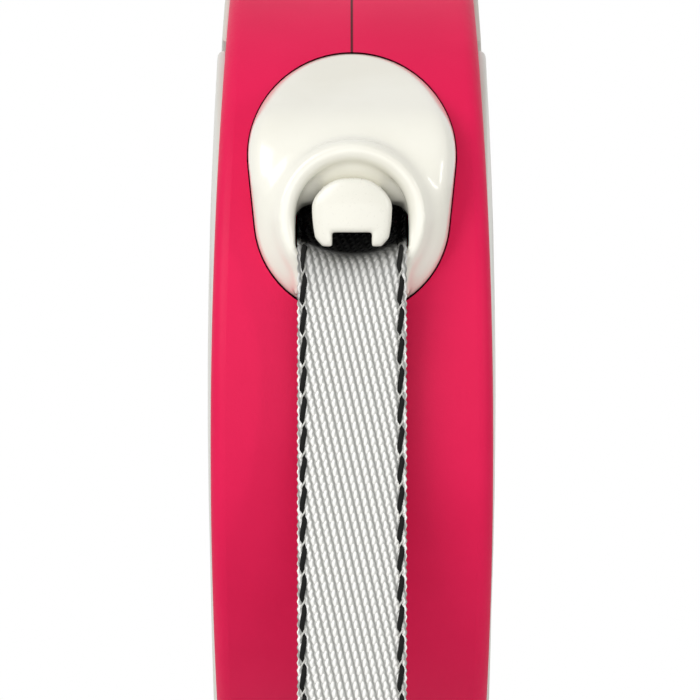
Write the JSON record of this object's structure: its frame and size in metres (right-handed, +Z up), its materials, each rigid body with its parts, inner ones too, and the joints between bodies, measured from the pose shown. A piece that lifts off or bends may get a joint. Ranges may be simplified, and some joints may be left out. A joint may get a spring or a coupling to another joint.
{
  "type": "retractable leash",
  "caption": "Hand-held retractable tape leash: round two-shell housing with handle loop, brake button, funnel nozzle and a snap hook on the tape's end.",
  "frame": {"origin": "middle of the grip, where the hand holds it", "axes": "+Z up, -Y out of the nozzle, +X to the right as seen from in front"},
  "size_m": [0.0404, 0.1816, 0.216],
  "materials": {
    "red_plastic": "satin, fine grain",
    "grey_plastic": "satin",
    "ivory_plastic": "glossy",
    "guide_plastic": "semi-gloss",
    "black_plastic": "moulded",
    "dark_plastic": "moulded",
    "tape_weave": "woven tape with edge cords",
    "steel": "drawn",
    "spring_steel": "blued",
    "zinc_chrome": "plated, polished",
    "stopper_plastic": "satin"
  },
  "bodies": {
    "housing": {"housing_left": "red_plastic", "housing_right": "red_plastic", "side_cover_left": "grey_plastic", "side_cover_right": "grey_plastic", "grip_panel_left": "grey_plastic", "grip_panel_right": "grey_plastic", "outlet_nozzle": "ivory_plastic", "tape_guide": "guide_plastic", "power_spring": "spring_steel", "spool_axle": "steel", "axle_washers": "steel", "housing_screws": "steel", "pawl_pin": "steel", "brake_spring": "spring_steel", "tape_lead": "tape_weave", "leash_tape": "tape_weave"},
    "spool": {"spool": "black_plastic", "spool_flange": "black_plastic", "tape_winding": "tape_weave", "spring_case": "dark_plastic"},
    "brake_button": {"brake_button": "grey_plastic"},
    "brake_pawl": {"brake_pawl": "dark_plastic"},
    "brake_lock": {"brake_lock": "dark_plastic"},
    "tape_end": {"tape_stopper": "stopper_plastic", "tape_loop": "tape_weave", "swivel_ring": "zinc_chrome"},
    "hook": {"hook_body": "zinc_chrome", "hook_spring": "spring_steel"},
    "hook_bolt": {"hook_bolt": "zinc_chrome"}
  },
  "joints": [
    {"name": "spool_turn", "type": "hinge", "parent": "housing", "child": "spool", "pos_m": [0, -0.1065, -0.003], "axis": [-1, 0, 0], "range_deg": [0, 120]},
    {"name": "tape_travel", "type": "slide", "parent": "housing", "child": "tape_end", "axis": [0, 0, 1], "range_m": [0, 0.08272], "deforming": ["leash_tape"]},
    {"name": "brake_press", "type": "slide", "parent": "housing", "child": "brake_button", "axis": [0, 0, -1], "range_m": [0, 0.004], "stiffness_N_per_m": 600, "springref_m": -0.002, "deforming": ["brake_spring"]},
    {"name": "pawl_swing", "type": "hinge", "parent": "housing", "child": "brake_pawl", "pos_m": [0.01, -0.1185, 0.046], "axis": [-1, 0, 0], "range_deg": [0, 7.41]},
    {"name": "lock_slide", "type": "slide", "parent": "housing", "child": "brake_lock", "axis": [0, -1, 0], "range_m": [0, 0.004]},
    {"name": "hook_swivel", "type": "hinge", "parent": "tape_end", "child": "hook", "pos_m": [0, -0.1655, -0.113], "axis": [0, 0, 1], "continuous": true},
    {"name": "bolt_slide", "type": "slide", "parent": "hook", "child": "hook_bolt", "axis": [0, 0, 1], "range_m": [0, 0.007], "stiffness_N_per_m": 150, "springref_m": -0.005, "deforming": ["hook_spring"]}
  ],
  "couplings": [
    {"joint": "tape_travel", "follows": "spool_turn", "m_per_rad": 0.0394},
    {"joint": "pawl_swing", "follows": "brake_press", "rad_per_m": 32.258}
  ]
}
